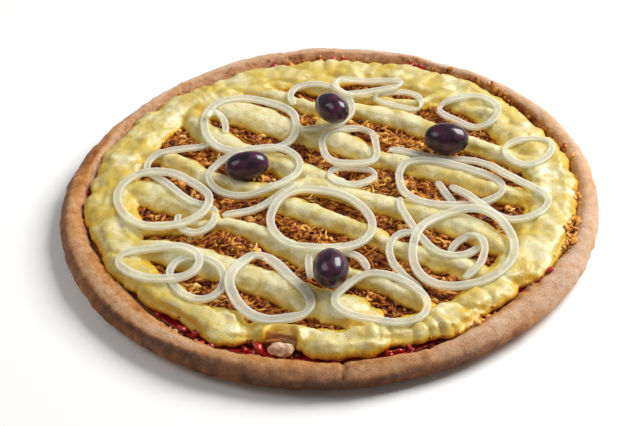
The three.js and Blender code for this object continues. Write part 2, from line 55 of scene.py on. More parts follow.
def add_camera():
    """The view of the photograph: from the front, a little tilted."""
    dips, rolls = math.radians(CAMERA["dips"]), math.radians(CAMERA["rolls"])
    data = bpy.data.cameras.new("photo_view")
    data.lens = CAMERA["lens"]
    data.sensor_width = 36.0
    data.clip_start, data.clip_end = 0.05, 10.0
    camera = bpy.data.objects.new("photo_view", data)
    camera.location = Vector(CAMERA["at"]) * MM
    turned = Matrix.Rotation(math.pi / 2 - dips, 3, "X") @ Matrix.Rotation(rolls, 3, "Z")
    camera.rotation_euler = turned.to_euler()
    bpy.context.scene.collection.objects.link(camera)
    bpy.context.scene.camera = camera


# Mesh tools


def copied(name):
    """A merged copy of a CAD node, with its triangles joined to quads."""
    form = bmesh.new()
    form.from_mesh(cad_nodes[name].data)
    bmesh.ops.remove_doubles(form, verts=form.verts, dist=0.01 * MM)
    bmesh.ops.join_triangles(
        form,
        faces=form.faces,
        angle_face_threshold=math.radians(30),
        angle_shape_threshold=math.radians(50),
    )
    return form


def to_object(form, name):
    """An object in the scene, made from a bmesh and named for it."""
    mesh = bpy.data.meshes.new(name)
    form.to_mesh(mesh)
    form.free()
    made = bpy.data.objects.new(name, mesh)
    bpy.context.scene.collection.objects.link(made)
    return made


def applied(made, *modifiers):
    """Works modifiers into the mesh of an object, each given as (type, settings)."""
    for kind, settings in modifiers:
        modifier = made.modifiers.new(kind.lower(), kind)
        for key, value in settings.items():
            setattr(modifier, key, value)
    bpy.context.view_layer.update()
    evaluated = made.evaluated_get(bpy.context.evaluated_depsgraph_get())
    mesh = bpy.data.meshes.new_from_object(evaluated)
    mesh.name = made.name
    made.modifiers.clear()
    made.data = mesh


def raised(made, height_at):
    """Moves each corner along its normal by the mm that height_at(place in mm, normal) gives."""
    mesh = made.data
    normals = [corner.normal.copy() for corner in mesh.vertices]
    for corner, normal in zip(mesh.vertices, normals):
        corner.co += normal * (height_at(corner.co / MM, normal) * MM)
    mesh.update()


def painted(made, name, amount_at):
    """Keeps an amount for each corner, from its place in mm and normal, for the material to read."""
    mesh = made.data
    amounts = [amount_at(corner.co / MM, corner.normal) for corner in mesh.vertices]
    mesh.attributes.new(name, "FLOAT", "POINT").data.foreach_set("value", amounts)


def finished(made, material, slot, *replaced):
    """Gives a piece its material and smooth faces, and puts it on the body."""
    made.data.materials.clear()
    made.data.materials.append(material)
    made.data.polygons.foreach_set("use_smooth", [True] * len(made.data.polygons))
    if replaced:
        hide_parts(*replaced)
    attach(made, "root")
    return made


def surface_of(*objects):
    """A tree for casting rays at these objects."""
    corners, faces = [], []
    for made in objects:
        start = len(corners)
        corners += [corner.co.copy() for corner in made.data.vertices]
        faces += [[start + i for i in face.vertices] for face in made.data.polygons]
    return BVHTree.FromPolygons(corners, faces)


# The height in mm that rays come down from, well above the olives
RAYS_FROM = 100


def drop(tree, x, y):
    """Where something let down at x, y in mm lands: height in mm and normal, or None."""
    place, normal, _, _ = tree.ray_cast(Vector((x * MM, y * MM, RAYS_FROM * MM)), Vector((0, 0, -1)))
    return (place.z / MM, normal) if place else None


def wavy(place, size, seed=0.0):
    """Smooth noise from -1 to 1 with features of this size in mm."""
    return noise.noise(place / size + Vector((seed, seed * 0.7, seed * 1.3)))


def around(place):
    """Degrees round the pizza, from +X towards +Y."""
    return math.degrees(math.atan2(place.y, place.x)) % 360


def off_by(degrees, middle):
    """Degrees from the middle, the shorter way round."""
    return (degrees - middle + 180) % 360 - 180


def at_degrees(degrees, middle, width):
    """1 at the middle and fading out a few widths away, round the pizza."""
    return math.exp(-((off_by(degrees, middle) / width) ** 2))


def ease(value, low, high):
    """0 below low, 1 above high, and smooth between."""
    share = min(max((value - low) / (high - low), 0.0), 1.0)
    return share * share * (3 - 2 * share)


# Material tools


def linear(code):
    """An sRGB hex colour as linear red, green, blue and alpha."""
    parts = [int(code[i : i + 2], 16) / 255 for i in (1, 3, 5)]
    return [c / 12.92 if c <= 0.04045 else ((c + 0.055) / 1.055) ** 2.4 for c in parts] + [1.0]


def per_mm(size):
    """The texture scale that gives features of this size in mm."""
    return 1000.0 / size


def metres(*lengths):
    """Lengths in mm as metres, such as how far red, green and blue light gets below a surface."""
    return [length * MM for length in lengths]


def put(tree, kind, inputs, stops=(), **settings):
    """Adds a node. An input is a value, a hex colour, an output, or a node, for its first output.

    The stops of a colour ramp start with its two ends, which it already has.
    """
    node = tree.nodes.new("ShaderNode" + kind)
    for key, value in settings.items():
        setattr(node, key, value)
    for i, (place, colour) in enumerate(stops):
        elements = node.color_ramp.elements
        element = elements[i] if i < 2 else elements.new(place)
        element.position, element.color = place, linear(colour)
    for key, value in inputs.items():
        if isinstance(value, bpy.types.Node):
            value = next(output for output in value.outputs if output.enabled)
        if isinstance(value, bpy.types.NodeSocket):
            tree.links.new(value, node.inputs[key])
        else:
            node.inputs[key].default_value = linear(value) if isinstance(value, str) else value
    return node


def new_material(name):
    """An empty material, its node tree and its Object coordinates."""
    material = bpy.data.materials.new(name)
    material.use_nodes = True
    tree = material.node_tree
    tree.nodes.clear()
    return material, tree, put(tree, "TexCoord", {}).outputs["Object"]


# Inputs of the node that mixes two colours: the share of the second, the first and the second
SHARE, FIRST, SECOND = 0, 6, 7


# Materials


def baked_dough():
    """Baked wheat dough: matt, toasted orange brown towards the middle, dusted with flour outside, and
    with painted shade darkening the walls at the front left.
    """
    material, tree, coords = new_material("baked_dough")
    # This amount holds the browning of the rim together with its painted shade
    toast_and_shade = put(tree, "Attribute", {}, attribute_name="toast_and_shade").outputs["Fac"]
    flour = put(tree, "Attribute", {}, attribute_name="flour").outputs["Fac"]
    stain = put(tree, "Attribute", {}, attribute_name="stain").outputs["Fac"]

    # Uneven browning, in patches of 5 mm
    patches = put(tree, "TexNoise", {
        "Vector": coords, "Scale": per_mm(5), "Detail": 5.0, "Roughness": 0.65,
    })
    patches = put(tree, "MapRange", {
        "Value": patches, "From Min": 0.3, "From Max": 0.7, "To Min": -0.16, "To Max": 0.16,
    })
    baked = put(tree, "Math", {0: toast_and_shade, 1: patches}, operation="ADD")
    colour = put(tree, "ValToRGB", {"Fac": baked}, stops=[
        (0.0, "#e0bea2"), (1.0, "#56300e"), (0.25, "#d6a87e"), (0.5, "#c6884c"), (0.75, "#92572a"),
    ])

    # Flour and the grain of the dough are much finer, and drawn 1.3 mm wide so that they show
    grain = put(tree, "TexNoise", {
        "Vector": coords, "Scale": per_mm(1.3), "Detail": 5.0, "Roughness": 0.75,
    })
    dust = put(tree, "MapRange", {"Value": grain, "From Min": 0.3, "From Max": 0.8})
    dusted = put(tree, "Math", {0: dust, 1: flour}, operation="MULTIPLY")
    colour = put(tree, "Mix", {SHARE: dusted, FIRST: colour, SECOND: "#dccbc2"}, data_type="RGBA")

    # Burnt juices, in spots of 3.6 mm
    burnt = put(tree, "TexNoise", {
        "Vector": coords, "Scale": per_mm(3.6), "Detail": 4.0, "Roughness": 0.7,
    })
    burnt = put(tree, "MapRange", {"Value": burnt, "From Min": 0.44, "From Max": 0.6})
    stained = put(tree, "Math", {0: burnt, 1: stain}, operation="MULTIPLY")
    colour = put(tree, "Mix", {SHARE: stained, FIRST: colour, SECOND: "#7c3a14"}, data_type="RGBA")

    # Specks of bran, and dark spots of painted shade where a pore opens, each drawn about 1 mm wide so
    # that they show
    specks = put(tree, "TexNoise", {"Vector": coords, "Scale": per_mm(1.2), "Detail": 1.0})
    specks = put(tree, "MapRange", {"Value": specks, "From Min": 0.7, "From Max": 0.75, "To Max": 0.55})
    colour = put(tree, "Mix", {SHARE: specks, FIRST: colour, SECOND: "#5c2f16"}, data_type="RGBA")
    pore_shade = put(tree, "TexNoise", {
        "Vector": coords, "Scale": per_mm(1.0), "Detail": 3.0, "Roughness": 0.7,
    })
    pore_shade = put(tree, "MapRange", {
        "Value": pore_shade, "From Min": 0.36, "From Max": 0.5, "To Min": 0.24, "To Max": 0.0,
    })
    colour = put(tree, "Mix", {SHARE: pore_shade, FIRST: colour, SECOND: "#8a5c44"}, data_type="RGBA")

    shader = put(tree, "BsdfPrincipled", {
        "Base Color": colour,
        "Roughness": put(tree, "MapRange", {
            "Value": toast_and_shade, "From Min": 0.3, "From Max": 0.8, "To Min": 0.82, "To Max": 0.55,
        }),
        "Specular IOR Level": 0.12,
        "Subsurface Weight": 0.05,
        "Subsurface Radius": metres(4, 2.5, 1.5),
        "Subsurface Scale": 1.0,
        "Normal": put(tree, "Bump", {"Height": grain, "Distance": 1.1 * MM, "Strength": 1.0}),
    })
    put(tree, "OutputMaterial", {"Surface": shader})
    return material


def cream_cheese():
    """Melted cream cheese: satin and a little see-through, pale on top and deeper yellow down its sides,
    where the yellow is partly painted shade.
    """
    material, tree, coords = new_material("cream_cheese")
    golden_and_shade = put(tree, "Attribute", {}, attribute_name="golden_and_shade").outputs["Fac"]
    patches = put(tree, "TexNoise", {
        "Vector": coords, "Scale": per_mm(5), "Detail": 3.0, "Roughness": 0.55,
    })
    patches = put(tree, "MapRange", {
        "Value": patches, "From Min": 0.3, "From Max": 0.7, "To Min": -0.06, "To Max": 0.06,
    })
    tone = put(tree, "Math", {0: golden_and_shade, 1: patches}, operation="ADD")
    # The deep end of the ramp is browning together with painted shade on the sides and at the foot
    colour = put(tree, "ValToRGB", {"Fac": tone}, stops=[
        (0.0, "#e2d8aa"), (1.0, "#a8681a"), (0.12, "#d4c27c"), (0.24, "#d0b658"), (0.36, "#d8b644"),
        (0.5, "#e0b83a"), (0.66, "#e2b032"), (0.84, "#cf982a"),
    ])

    # Dried herbs, drawn 1.3 mm wide so that they show, and browned spots of 3.4 mm
    herbs = put(tree, "TexNoise", {"Vector": coords, "Scale": per_mm(1.3), "Detail": 1.0})
    herbs = put(tree, "MapRange", {"Value": herbs, "From Min": 0.7, "From Max": 0.75, "To Max": 0.7})
    colour = put(tree, "Mix", {SHARE: herbs, FIRST: colour, SECOND: "#6c5a1e"}, data_type="RGBA")
    spots = put(tree, "TexNoise", {
        "Vector": coords, "Scale": per_mm(3.4), "Detail": 3.0, "Roughness": 0.6,
    })
    spots = put(tree, "MapRange", {"Value": spots, "From Min": 0.62, "From Max": 0.76, "To Max": 0.5})
    colour = put(tree, "Mix", {SHARE: spots, FIRST: colour, SECOND: "#b8842e"}, data_type="RGBA")

    # Fine wrinkles of the skin that melted cheese forms, 2 mm wide
    film = put(tree, "TexNoise", {
        "Vector": coords, "Scale": per_mm(2.0), "Detail": 5.0, "Roughness": 0.7,
    })
    shader = put(tree, "BsdfPrincipled", {
        "Base Color": colour,
        "Roughness": 0.36,
        "Specular IOR Level": 0.45,
        "Coat Weight": 0.35,
        "Coat Roughness": 0.22,
        "Subsurface Weight": 0.6,
        "Subsurface Radius": metres(4, 2.7, 0.9),
        "Subsurface Scale": 1.0,
        "Normal": put(tree, "Bump", {"Height": film, "Distance": 0.5 * MM, "Strength": 1.0}),
    })
    put(tree, "OutputMaterial", {"Surface": shader})
    return material


def roast_chicken():
    """Roast chicken pulled to shreds: oily fibres from pale orange to dark brown."""
    material, tree, coords = new_material("roast_chicken")
    shade = put(tree, "Attribute", {}, attribute_name="shade").outputs["Fac"]
    # Painted shade in the heap: shreds down in it are darker than those on top
    height = put(tree, "SeparateXYZ", {"Vector": coords}).outputs["Z"]
    high = put(tree, "MapRange", {
        "Value": height, "From Min": 10.2 * MM, "From Max": 14.2 * MM, "To Min": -0.12, "To Max": 0.3,
    })
    patches = put(tree, "TexNoise", {
        "Vector": coords, "Scale": per_mm(4.5), "Detail": 3.0, "Roughness": 0.6,
    })
    patches = put(tree, "MapRange", {
        "Value": patches, "From Min": 0.3, "From Max": 0.7, "To Min": -0.2, "To Max": 0.2,
    })
    tone = put(tree, "Math", {0: shade, 1: 0.75, 2: high}, operation="MULTIPLY_ADD")
    tone = put(tree, "Math", {0: tone, 1: patches}, operation="ADD")
    colour = put(tree, "ValToRGB", {"Fac": tone}, stops=[
        (0.0, "#5a240c"), (1.0, "#f7cc80"), (0.2, "#8a4212"), (0.4, "#b26a1c"), (0.65, "#e6aa4a"),
    ])
    # Fibres, drawn 0.9 mm wide so that they show
    fibres = put(tree, "TexNoise", {"Vector": coords, "Scale": per_mm(0.9), "Detail": 3.0})
    shader = put(tree, "BsdfPrincipled", {
        "Base Color": colour,
        "Roughness": 0.4,
        "Specular IOR Level": 0.25,
        "Subsurface Weight": 0.1,
        "Subsurface Radius": metres(2, 1, 0.5),
        "Subsurface Scale": 1.0,
        "Normal": put(tree, "Bump", {"Height": fibres, "Distance": 0.25 * MM, "Strength": 1.0}),
    })
    put(tree, "OutputMaterial", {"Surface": shader})
    return material


def boiled_chicken():
    """Boiled chicken: pale pink beige and dull, with patches of painted shade standing for its hollows.
    """
    material, tree, coords = new_material("boiled_chicken")
    # The darker patches are painted shade for the hollows of the lump
    hollows = put(tree, "TexNoise", {
        "Vector": coords, "Scale": per_mm(3), "Detail": 4.0, "Roughness": 0.6,
    })
    hollows = put(tree, "MapRange", {"Value": hollows, "From Min": 0.35, "From Max": 0.6})
    grain = put(tree, "TexNoise", {"Vector": coords, "Scale": per_mm(1.2), "Detail": 3.0})
    shader = put(tree, "BsdfPrincipled", {
        "Base Color": put(tree, "Mix", {
            SHARE: hollows, FIRST: "#ae7c54", SECOND: "#e2c6a6",
        }, data_type="RGBA"),
        "Roughness": 0.6,
        "Subsurface Weight": 0.15,
        "Subsurface Radius": metres(3, 1.5, 1),
        "Subsurface Scale": 1.0,
        "Normal": put(tree, "Bump", {"Height": grain, "Distance": 0.3 * MM, "Strength": 1.0}),
    })
    put(tree, "OutputMaterial", {"Surface": shader})
    return material


def raw_onion():
    """Sliced white onion: moist, cloudy along its edges and see-through between them."""
    material, tree, coords = new_material("white_onion")
    edge = put(tree, "Attribute", {}, attribute_name="edge").outputs["Fac"]
    veins = put(tree, "TexNoise", {"Vector": coords, "Scale": per_mm(3), "Detail": 3.0})
    cloudy = put(tree, "MapRange", {"Value": veins, "From Min": 0.35, "From Max": 0.7})
    shader = put(tree, "BsdfPrincipled", {
        "Base Color": put(tree, "Mix", {
            SHARE: cloudy, FIRST: "#ffffe6", SECOND: "#fbfacf",
        }, data_type="RGBA"),
        "Roughness": 0.28,
        "IOR": 1.16,
        "Specular IOR Level": 0.5,
        "Coat Weight": 0.5,
        "Coat Roughness": 0.2,
        "Alpha": put(tree, "MapRange", {
            "Value": edge, "From Min": 0.1, "From Max": 1.0, "To Min": 0.36, "To Max": 0.68,
        }),
        "Subsurface Weight": 0.9,
        "Subsurface Radius": metres(6, 6, 5),
        "Subsurface Scale": 1.0,
        "Normal": put(tree, "Bump", {"Height": veins, "Distance": 0.15 * MM, "Strength": 1.0}),
    })
    put(tree, "OutputMaterial", {"Surface": shader})
    return material


def cured_olive():
    """Cured black olive: wet purple black skin with paler streaks."""
    material, tree, coords = new_material("cured_olive")
    streaks = put(tree, "TexNoise", {
        "Vector": coords, "Scale": per_mm(7), "Detail": 4.0, "Roughness": 0.6, "Distortion": 0.6,
    })
    streaks = put(tree, "MapRange", {"Value": streaks, "From Min": 0.42, "From Max": 0.66})
    skin = put(tree, "TexNoise", {"Vector": coords, "Scale": per_mm(1.6), "Detail": 3.0})
    shader = put(tree, "BsdfPrincipled", {
        "Base Color": put(tree, "Mix", {
            SHARE: streaks, FIRST: "#1b0712", SECOND: "#52163a",
        }, data_type="RGBA"),
        "Roughness": 0.4,
        "Specular IOR Level": 0.25,
        "Coat Weight": 0.7,
        "Coat Roughness": 0.1,
        "Normal": put(tree, "Bump", {"Height": skin, "Distance": 0.06 * MM, "Strength": 1.0}),
    })
    put(tree, "OutputMaterial", {"Surface": shader})
    return material


def tomato():
    """Tomato sauce and diced tomato: wet, deep red, lighter where the flesh is cut."""
    material, tree, coords = new_material("tomato")
    pulp = put(tree, "TexNoise", {"Vector": coords, "Scale": per_mm(3.5), "Detail": 3.0})
    pulp = put(tree, "MapRange", {"Value": pulp, "From Min": 0.35, "From Max": 0.7})
    wet = put(tree, "TexNoise", {"Vector": coords, "Scale": per_mm(2), "Detail": 3.0})
    shader = put(tree, "BsdfPrincipled", {
        "Base Color": put(tree, "Mix", {
            SHARE: pulp, FIRST: "#86100a", SECOND: "#cc281c",
        }, data_type="RGBA"),
        "Roughness": 0.22,
        "Specular IOR Level": 0.6,
        "Subsurface Weight": 0.15,
        "Subsurface Radius": metres(3, 0.8, 0.5),
        "Subsurface Scale": 1.0,
        "Normal": put(tree, "Bump", {"Height": wet, "Distance": 0.3 * MM, "Strength": 1.0}),
    })
    put(tree, "OutputMaterial", {"Surface": shader})
    return material


# Pieces

# Radii in mm: the foot of the inner side of the rim, and its crest
RIM_FOOT, CREST = 130, 141
# Creases pressed across the rim: [degrees, from radius, to radius, half width in mm, depth in mm]
CREASES = [
    (183.6, 134, 147, 0.6, 1.3), (270.9, 134, 151, 0.9, 1.7), (167.5, 134, 145, 0.7, 0.7),
    (151.5, 133, 143, 0.8, 0.8), (180.0, 137, 143, 0.5, 0.7), (128.0, 134, 143, 0.7, 0.9),
    (202.0, 131, 146, 1.2, 0.7), (222.0, 136, 149, 0.9, 0.5), (247.0, 138, 149, 1.1, 0.5),
    (289.0, 137, 149, 1.3, 0.6), (302.0, 136, 150, 0.8, 0.5), (341.0, 139, 150, 1.0, 0.4),
]
# Where the lip of the rim is torn and crumbly: [degrees, half width in degrees, mm]
TORN = [
    (235, 7, 1.7), (318, 4, 1.5), (209, 7, 0.7), (256, 6, 0.8), (98, 8, 0.5), (45, 18, 0.7), (15, 8, 0.5),
]
# Where the lip of the rim reaches in to the cheese: [degrees, half width in degrees, mm]
REACHING = [(331, 13, 2.0), (301, 6, 1.0), (352, 7, 1.0)]
# Below this height in mm the crust is browned as the underside is
UNDERSIDE = 1.5
# How far the rim is baked, from 0, pale, to 1, dark, partly painted shade: the outer side and wall are
# darkest at the front left, away from the window light, and palest at the front right, which faces it:
# [degrees, inner side, crest, outer side, wall]
BAKED_AND_SHADED = [
    (0, 0.42, 0.40, 0.30, 0.30), (15, 0.50, 0.30, 0.12, 0.30), (30, 0.62, 0.16, 0.08, 0.35),
    (45, 0.56, 0.10, 0.05, 0.40), (60, 0.46, 0.10, 0.05, 0.40), (75, 0.48, 0.12, 0.10, 0.40),
    (90, 0.60, 0.20, 0.15, 0.45), (105, 0.44, 0.22, 0.20, 0.45), (120, 0.42, 0.25, 0.15, 0.50),
    (135, 0.50, 0.20, 0.15, 0.50), (150, 0.20, 0.42, 0.44, 0.60), (165, 0.02, 0.74, 0.70, 0.70),
    (180, 0.42, 0.46, 0.74, 0.78), (195, 0.45, 0.38, 0.80, 0.76), (210, 0.46, 0.28, 0.92, 0.79),
    (225, 0.46, 0.20, 1.00, 0.78), (240, 0.48, 0.22, 0.98, 0.82), (255, 0.48, 0.38, 0.72, 0.95),
    (270, 0.50, 0.52, 0.42, 0.95), (285, 0.50, 0.50, 0.42, 0.92), (300, 0.46, 0.26, 0.42, 0.80),
    (315, 0.42, 0.30, 0.30, 0.45), (330, 0.28, 0.12, 0.26, 0.20), (345, 0.36, 0.20, 0.24, 0.16),
]


def crust_height(place, normal):
    """Relief of the rim in mm: lumps, wrinkles, creases, and a lip that is torn or reaches in."""
    radius, degrees = math.hypot(place.x, place.y), around(place)
    on_rim = ease(radius, RIM_FOOT - 2, RIM_FOOT + 3) * ease(place.z, 0.6, 3.0)
    if on_rim == 0:
        return 0
    height = 0.5 * wavy(place, 17) + 0.36 * wavy(place, 7, 3) + 0.26 * wavy(place, 2.8, 7)
    wrinkle = noise.noise(Vector((degrees * 0.55, radius / 16, place.z / 9)))
    height += 0.7 * wrinkle * ease(wavy(place, 30, 11), -0.2, 0.4)
    for middle, start, end, width, depth in CREASES:
        across = math.radians(off_by(degrees, middle)) * radius + 0.7 * wavy(place, 4, 2)
        length = ease(radius, start, start + 2) * ease(radius, end, end - 3)
        height -= depth * length * math.exp(-((across / width) ** 2))
    lip = ease(radius, CREST, CREST - 5) * ease(place.z, 7, 10)
    height += lip * 0.35 * wavy(place, 2.2, 9)
    for middle, width, depth in TORN:
        height += at_degrees(degrees, middle, width) * lip * depth * 2 * wavy(place, 2.6, 5)
    for middle, width, reach in REACHING:
        height += at_degrees(degrees, middle, width) * lip * reach
    # Set back a little, so that the lumps stay within the box of the solid
    return on_rim * (height - 0.3)


def crust_toast_and_shade(place, normal):
    """From 0, pale, to 1, dark brown, with painted shade down the outer side and wall at the front left,
    and in patches on the underside.
    """
    radius, degrees = math.hypot(place.x, place.y), around(place)
    if place.z < UNDERSIDE:
        return 0.5 + 0.4 * ease(wavy(place, 9, 4) + 0.5 * wavy(place, 3.5, 6), 0.0, 0.45)
    step = degrees * len(BAKED_AND_SHADED) / 360 + 0.35 * wavy(place, 14, 18)
    here, onwards = BAKED_AND_SHADED[int(step) % len(BAKED_AND_SHADED)], BAKED_AND_SHADED[int(step + 1) % len(BAKED_AND_SHADED)]
    share = step % 1
    inner, crest, outer, wall = (a + (b - a) * share for a, b in zip(here[1:], onwards[1:]))
    radius += 0.8 * wavy(place, 5, 14)
    baked = inner + (crest - inner) * ease(radius, CREST - 3.5, CREST - 0.5)
    baked += (outer - baked) * ease(radius, CREST + 2.5, CREST + 6)
    # Lower down the outer wall, the wall's values take over, and at the front left these are mostly
    # painted shade
    baked += (wall - baked) * ease(place.z, 13.5, 9.5) * ease(radius, CREST + 3, CREST + 6)
    return baked + 0.15 * wavy(place, 18, 8) + 0.12 * wavy(place, 6, 2)


def crust_flour(place, normal):
    """Share of flour dust, on the outer side and over the whole top at the back."""
    radius, degrees = math.hypot(place.x, place.y), around(place)
    back = at_degrees(degrees, 75, 55) + at_degrees(degrees, 130, 20) + 0.4 * at_degrees(degrees, 310, 35)
    start = CREST + 5 - 9 * min(back, 1.0)
    dust = 0.55 + 0.4 * wavy(place, 14, 15)
    share = 0.3 + 0.4 * back + 0.5 * at_degrees(degrees, 330, 35)
    return max(0.0, dust) * ease(radius, start - 4, start) * ease(place.z, 5, 12) * share


def crust_stain(place, normal):
    """Browned juices on the inner side of the rim, mostly at the back and right."""
    radius, degrees = math.hypot(place.x, place.y), around(place)
    share = 0.9 * at_degrees(degrees, 50, 14) + 0.9 * at_degrees(degrees, 22, 12) + 0.5
    share += 0.4 * at_degrees(degrees, 97, 12)
    return share * ease(radius, CREST - 0.5, CREST - 4) * ease(wavy(place, 9, 21), -0.25, 0.3)


def make_crust(material):
    """The dough, with its relief and its browning."""
    crust = to_object(copied("crust"), "pizza_crust")
    applied(crust, ("SUBSURF", {"levels": 3, "render_levels": 3}))
    raised(crust, crust_height)
    painted(crust, "toast_and_shade", crust_toast_and_shade)
    painted(crust, "flour", crust_flour)
    painted(crust, "stain", crust_stain)
    return finished(crust, material, "crust", "crust")


def make_sauce(material):
    """The tomato sauce, with a low uneven surface where it shows."""
    sauce = to_object(copied("tomato_sauce"), "sauce_and_tomato")
    applied(sauce, ("SUBSURF", {"levels": 2, "render_levels": 2}))
    raised(sauce, lambda place, normal: 0.3 * wavy(place, 3.0) * ease(place.z, 6.5, 7.5))
    return finished(sauce, material, "sauce", "tomato_sauce")


# Radii in mm between which the ropes of cheese pass into the band along the rim
BAND = (106, 114)
# The height in mm at which the cheese meets the chicken
CHEESE_FOOT = 11
# What the smoothing takes off the cheese, in mm, and its relief gives back
SWELL = 0.75
# Where the cheese has run out over the lip of the rim: [degrees, half width in degrees, mm]
RUN_OUT = [
    (357, 9, 2.2), (300, 8, 0.4), (12, 10, 1.2), (60, 14, 0.8), (100, 16, 0.8), (146, 20, 1.3),
    (205, 7, 1.2), (182, 6, 1.0), (312, 6, 0.5), (328, 6, 0.8), (278, 3.5, 1.8),
]
# The arch of cheese over the lump of chicken, in mm: its middle, how far it reaches to the sides and
# back, the height of its ridge, and the depth of the hollow under it
ARCH = {"x": -28.0, "y": -122.0, "wide": 9.6, "deep": 9.6, "high": 1.7, "hollow": 1.4}


def arch_at(place):
    """Ridge of the arch and the hollow under it, each from 0 to 1."""
    out = math.hypot((place.x - ARCH["x"]) / ARCH["wide"], (place.y - ARCH["y"]) / ARCH["deep"])
    front = ease(place.y, -131, -127)
    return front * math.exp(-(((out - 1.05) / 0.17) ** 2)), front * ease(out, 0.98, 0.78)


def cheese_height(place, normal):
    """Swelling and lumps of the melted cheese in mm, larger on the band along the rim."""
    radius, degrees = math.hypot(place.x, place.y), around(place)
    top = ease(place.z, CHEESE_FOOT, CHEESE_FOOT + 2)
    on_band = ease(radius, *BAND)
    lumps = (0.9 + 0.6 * on_band) * wavy(place, 12, 2) + (0.65 + 0.25 * on_band) * wavy(place, 5.5, 5)
    lumps += 0.36 * wavy(place, 2.8, 9) + 0.4 * ease(normal.z, 0.75, 1.0)
    outwards = ease((normal.x * place.x + normal.y * place.y) / radius, 0.1, 0.6) * ease(radius, 122, 130)
    run_out = sum(amount * at_degrees(degrees, middle, width) for middle, width, amount in RUN_OUT)
    knobs = abs(math.sin(math.radians(degrees * 49) + 2.2 * wavy(place, 16, 22)))
    knobby = at_degrees(degrees, 291, 13) + 0.45 * ease(wavy(place, 45, 28), 0.0, 0.4)
    crease = 1.7 * min(knobby, 1.0) * (1 - knobs) ** 2 * ease(radius, 111, 121)
    crease += (0.3 + 0.9 * on_band) * ease(abs(wavy(place, 18, 40)), 0.26, 0.0)
    ragged = 0.7 + 1.5 * wavy(place, 8, 13) + 0.8 * wavy(place, 3.4, 17)
    foot = ragged * ease(place.z, CHEESE_FOOT + 3.2, CHEESE_FOOT + 1) * ease(normal.z, 0.9, 0.3)
    ridge, hollow = arch_at(place)
    arch = ARCH["high"] * ridge - ARCH["hollow"] * hollow
    return SWELL + top * (lumps - crease + arch) + outwards * run_out + foot


def cheese_golden_and_shade(place, normal):
    """From 0, cream on top, to 1, brown where the sides meet the chicken, with painted shade down the
    steep sides, at the foot and under the arch; the ropes are the palest.
    """
    ridge, hollow = arch_at(place)
    on_band = ease(math.hypot(place.x, place.y), BAND[0] - 8, BAND[1])
    # The hollow under the arch is painted darker, as shade
    blotch = 0.22 * wavy(place, 13, 31) + 0.1 * wavy(place, 4.5, 12) + 0.6 * hollow + 0.1 * ridge
    # Steep sides are painted deeper yellow, as shade
    steep_shade = ease(normal.z, 0.95, 0.3)
    # Towards the foot, browning and oil from the chicken, with painted shade where the cheese meets it
    low = ease(place.z, CHEESE_FOOT + 5, CHEESE_FOOT + 0.4)
    return 0.02 + 0.13 * on_band + 0.3 * steep_shade + 0.42 * low + blotch


def make_cheese(material):
    """The ropes of cheese and the band along the rim, run together and smoothed as melted cheese is."""
    cheese = to_object(copied("cheese"), "cream_cheese_ropes")
    applied(
        cheese,
        ("REMESH", {"mode": "VOXEL", "voxel_size": 1.15 * MM, "adaptivity": 0.0}),
        ("SMOOTH", {"factor": 0.5, "iterations": 7}),
    )
    raised(cheese, cheese_height)
    painted(cheese, "golden_and_shade", cheese_golden_and_shade)
    return finished(cheese, material, "cheese", "cheese")


# How the shreds are strewn: as far out as a reach and up to a level of the bed, both in mm, and with
# this share of slim ones
SHREDS = {
    "seed": 21, "tries": 30000, "most": 3400, "templates": 12, "reach": 127, "level": 13.2, "slim": 0.4,
}
# Lengths, widths and thicknesses in mm of slim shreds and of flakes
SLIM = [(5.5, 12), (0.8, 1.3), (0.6, 1.0)]
FLAKE = [(2.5, 6.5), (1.4, 2.9), (0.9, 1.9)]


def shred_template(draw):
    """A bent and uneven strip, one unit each way, of 18 faces."""
    form = bmesh.new()
    bmesh.ops.create_cube(form, size=1.0)
    lengthwise = [edge for edge in form.edges if abs(edge.verts[0].co.x - edge.verts[1].co.x) > 0.5]
    bmesh.ops.subdivide_edges(form, edges=lengthwise, cuts=3, use_grid_fill=True)
    bend, arch = draw.uniform(-0.8, 0.8), draw.uniform(-0.5, 0.4)
    # Five rows of corners run from end to end, and those at the ends are drawn in
    rows = [(draw.uniform(0.65, 1.15), draw.uniform(-0.25, 0.25)) for _ in range(5)]
    for corner in form.verts:
        row = round(corner.co.x * 4) + 2
        swell, shift = rows[row]
        if row in (0, 4):
            swell *= 0.5
        corner.co.y = corner.co.y * swell + shift + bend * corner.co.x ** 2 * 4 - bend / 2
        corner.co.z = corner.co.z * swell + arch * corner.co.x ** 2 * 4
        corner.co.x += draw.uniform(-0.06, 0.06)
    bmesh.ops.recalc_face_normals(form, faces=form.faces)
    mesh = bpy.data.meshes.new("shred")
    form.to_mesh(mesh)
    form.free()
    mesh.attributes.new("shade", "FLOAT", "POINT")
    return mesh


def add_copy(form, template, placed, shade):
    """A copy of a template, by its placing matrix and its tone from 0 to 1."""
    one = template.copy()
    one.transform(placed)
    one.attributes["shade"].data.foreach_set("value", [shade] * len(one.vertices))
    form.from_mesh(one)
    bpy.data.meshes.remove(one)


def make_chicken_bed(material):
    """The rough bed of chicken that the shreds lie on."""
    bed = to_object(copied("chicken"), "chicken_bed")
    applied(
        bed,
        ("REMESH", {"mode": "VOXEL", "voxel_size": 1.5 * MM, "adaptivity": 0.0}),
        ("SMOOTH", {"factor": 0.5, "iterations": 2}),
    )
    raised(bed, lambda place, normal: 0.9 * wavy(place, 3.2, 1) + 0.5 * wavy(place, 1.8, 6))
    painted(bed, "shade", lambda place, normal: 0.42 + 0.35 * wavy(place, 5, 3))
    return finished(bed, material, "chicken", "chicken")


